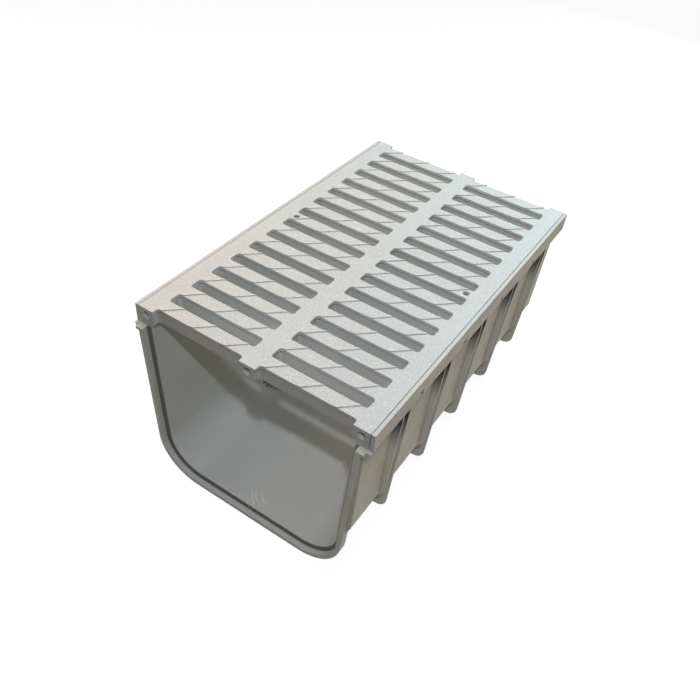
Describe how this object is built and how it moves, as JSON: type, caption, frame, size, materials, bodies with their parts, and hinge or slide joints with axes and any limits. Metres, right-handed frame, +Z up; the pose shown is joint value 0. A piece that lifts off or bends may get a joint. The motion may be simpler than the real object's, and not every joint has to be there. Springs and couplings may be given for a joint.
{
  "type": "channel drain",
  "caption": "U-shaped moulded drainage channel with ribbed flanks and a socket end, carrying a slotted anti-slip grating flush in its rim.",
  "frame": {"origin": "on the centre line, at the socket collar's underside, in the joint plane where the front ends of the grating and rim meet the unit before", "axes": "+Y along the channel from the socket end to the spigot end, +Z up to the walked-on face, +X across"},
  "size_m": [0.31, 0.5085, 0.2562],
  "materials": {
    "channel_body": "satin moulded, warm mid grey",
    "grating": "light grey with a fine sparkling grain"
  },
  "bodies": {
    "root": {"channel_body": "channel_body", "grating": "grating"}
  },
  "joints": []
}
